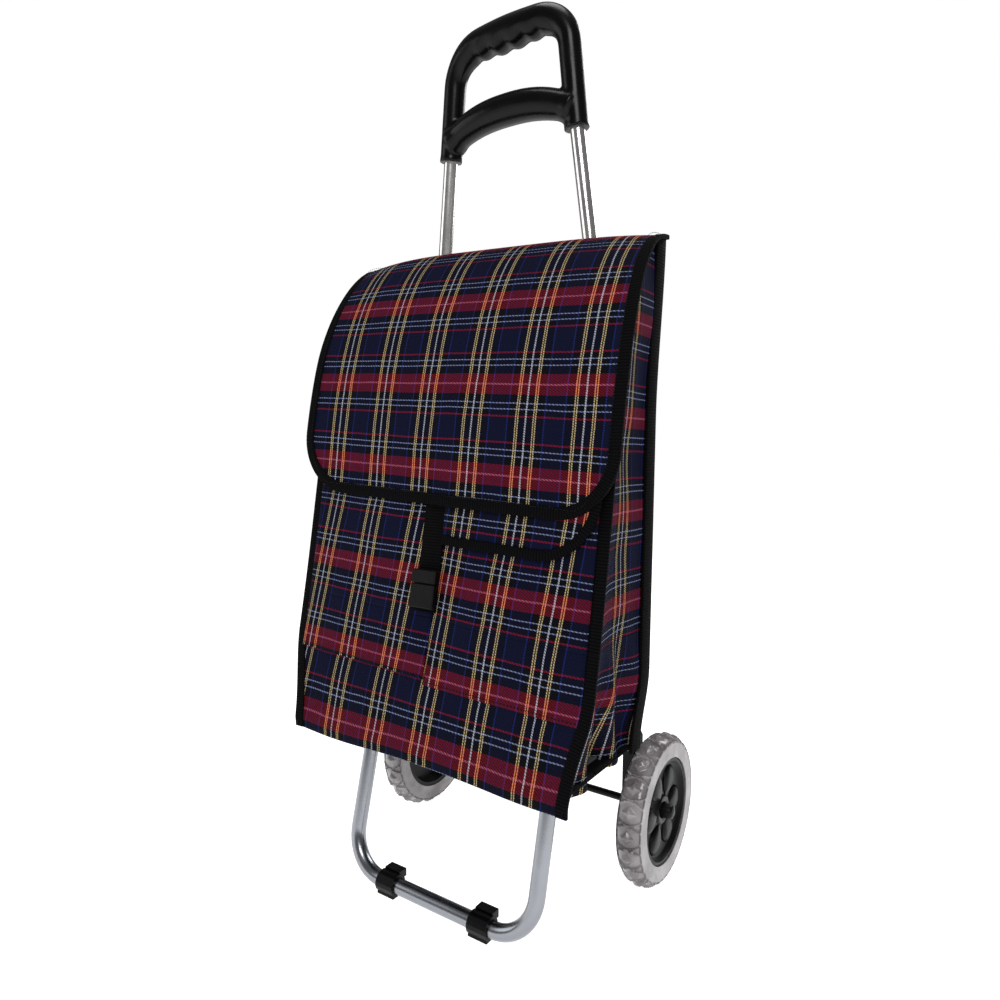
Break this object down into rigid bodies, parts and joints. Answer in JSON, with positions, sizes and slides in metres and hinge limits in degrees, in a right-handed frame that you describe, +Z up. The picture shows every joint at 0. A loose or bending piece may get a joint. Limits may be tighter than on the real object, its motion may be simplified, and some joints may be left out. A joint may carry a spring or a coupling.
{
  "type": "shopping trolley",
  "caption": "Wheeled shopping trolley: a soft bag with a lid flap and front pockets on a tube frame with a D-shaped grip, a folding front stand and a rear axle.",
  "frame": {"origin": "on the floor, midway between the wheels, 0.150 m forward of the back of the wheels", "axes": "+X to the right seen from the front, -Y the way the bag faces, +Z up"},
  "size_m": [0.3848, 0.2959, 0.9076],
  "materials": {
    "silver_tube": "satin",
    "zinc_steel": "satin",
    "black_steel": "satin",
    "black_grip": "gloss",
    "black_plastic": "satin",
    "pvc_tyre": "satin",
    "tartan_cloth": "matte",
    "black_cloth": "matte",
    "webbing": "matte",
    "board": "matte"
  },
  "bodies": {
    "frame": {"axle": "black_steel", "axle_bracket_left": "black_plastic", "axle_bracket_right": "black_plastic", "axle_cap_left": "black_plastic", "axle_cap_right": "black_plastic", "back_binding_left": "webbing", "back_binding_right": "webbing", "bag_back": "black_cloth", "bag_base": "black_cloth", "bag_front": "tartan_cloth", "bag_gusset_left": "tartan_cloth", "bag_gusset_right": "tartan_cloth", "bag_loop_high_left": "webbing", "bag_loop_high_right": "webbing", "bag_loop_low_left": "webbing", "bag_loop_low_right": "webbing", "base_insert": "board", "buckle_lower": "black_plastic", "frame_tube_left": "silver_tube", "frame_tube_right": "silver_tube", "front_binding_left": "webbing", "front_binding_right": "webbing", "front_pocket_left": "tartan_cloth", "front_pocket_right": "tartan_cloth", "grip_bar": "black_grip", "grip_loop": "black_grip", "lower_brace": "zinc_steel", "lower_brace_screw_left": "zinc_steel", "lower_brace_screw_right": "zinc_steel", "lower_strap": "webbing", "pocket_flap": "tartan_cloth", "pocket_flap_binding": "webbing", "stand_pivot_left": "zinc_steel", "stand_pivot_right": "zinc_steel", "upper_brace": "zinc_steel", "upper_brace_screw_left": "zinc_steel", "upper_brace_screw_right": "zinc_steel"},
    "wheel_left": {"tyre_left": "pvc_tyre", "hub_left": "black_plastic", "bush_left": "black_plastic"},
    "wheel_right": {"tyre_right": "pvc_tyre", "hub_right": "black_plastic", "bush_right": "black_plastic"},
    "flap": {"flap_panel": "tartan_cloth", "flap_binding": "webbing", "flap_strap": "webbing"},
    "buckle": {"buckle_upper": "black_plastic"},
    "stand": {"stand_tube": "silver_tube", "foot_clip_left": "black_plastic", "foot_clip_right": "black_plastic"}
  },
  "joints": [
    {"name": "wheel_left_spin", "type": "hinge", "parent": "frame", "child": "wheel_left", "pos_m": [-0.157, 0.07, 0.08], "axis": [1, 0, 0], "continuous": true},
    {"name": "wheel_right_spin", "type": "hinge", "parent": "frame", "child": "wheel_right", "pos_m": [0.157, 0.07, 0.08], "axis": [1, 0, 0], "continuous": true},
    {"name": "flap_hinge", "type": "hinge", "parent": "frame", "child": "flap", "pos_m": [0, 0.0028, 0.673], "axis": [-1, 0, 0], "range_deg": [0, 105]},
    {"name": "buckle_slide", "type": "slide", "parent": "flap", "child": "buckle", "axis": [0, 0.1674, 0.9859], "range_m": [0, 0.02]},
    {"name": "stand_fold", "type": "hinge", "parent": "frame", "child": "stand", "pos_m": [0, 0.007, 0.163], "axis": [-1, 0, 0], "range_deg": [0, 80], "deforming": ["bag_front", "bag_back", "bag_gusset_left", "bag_gusset_right", "bag_base", "base_insert", "front_pocket_left", "front_pocket_right", "pocket_flap", "pocket_flap_binding", "front_binding_left", "front_binding_right", "back_binding_left", "back_binding_right", "lower_strap"]}
  ]
}
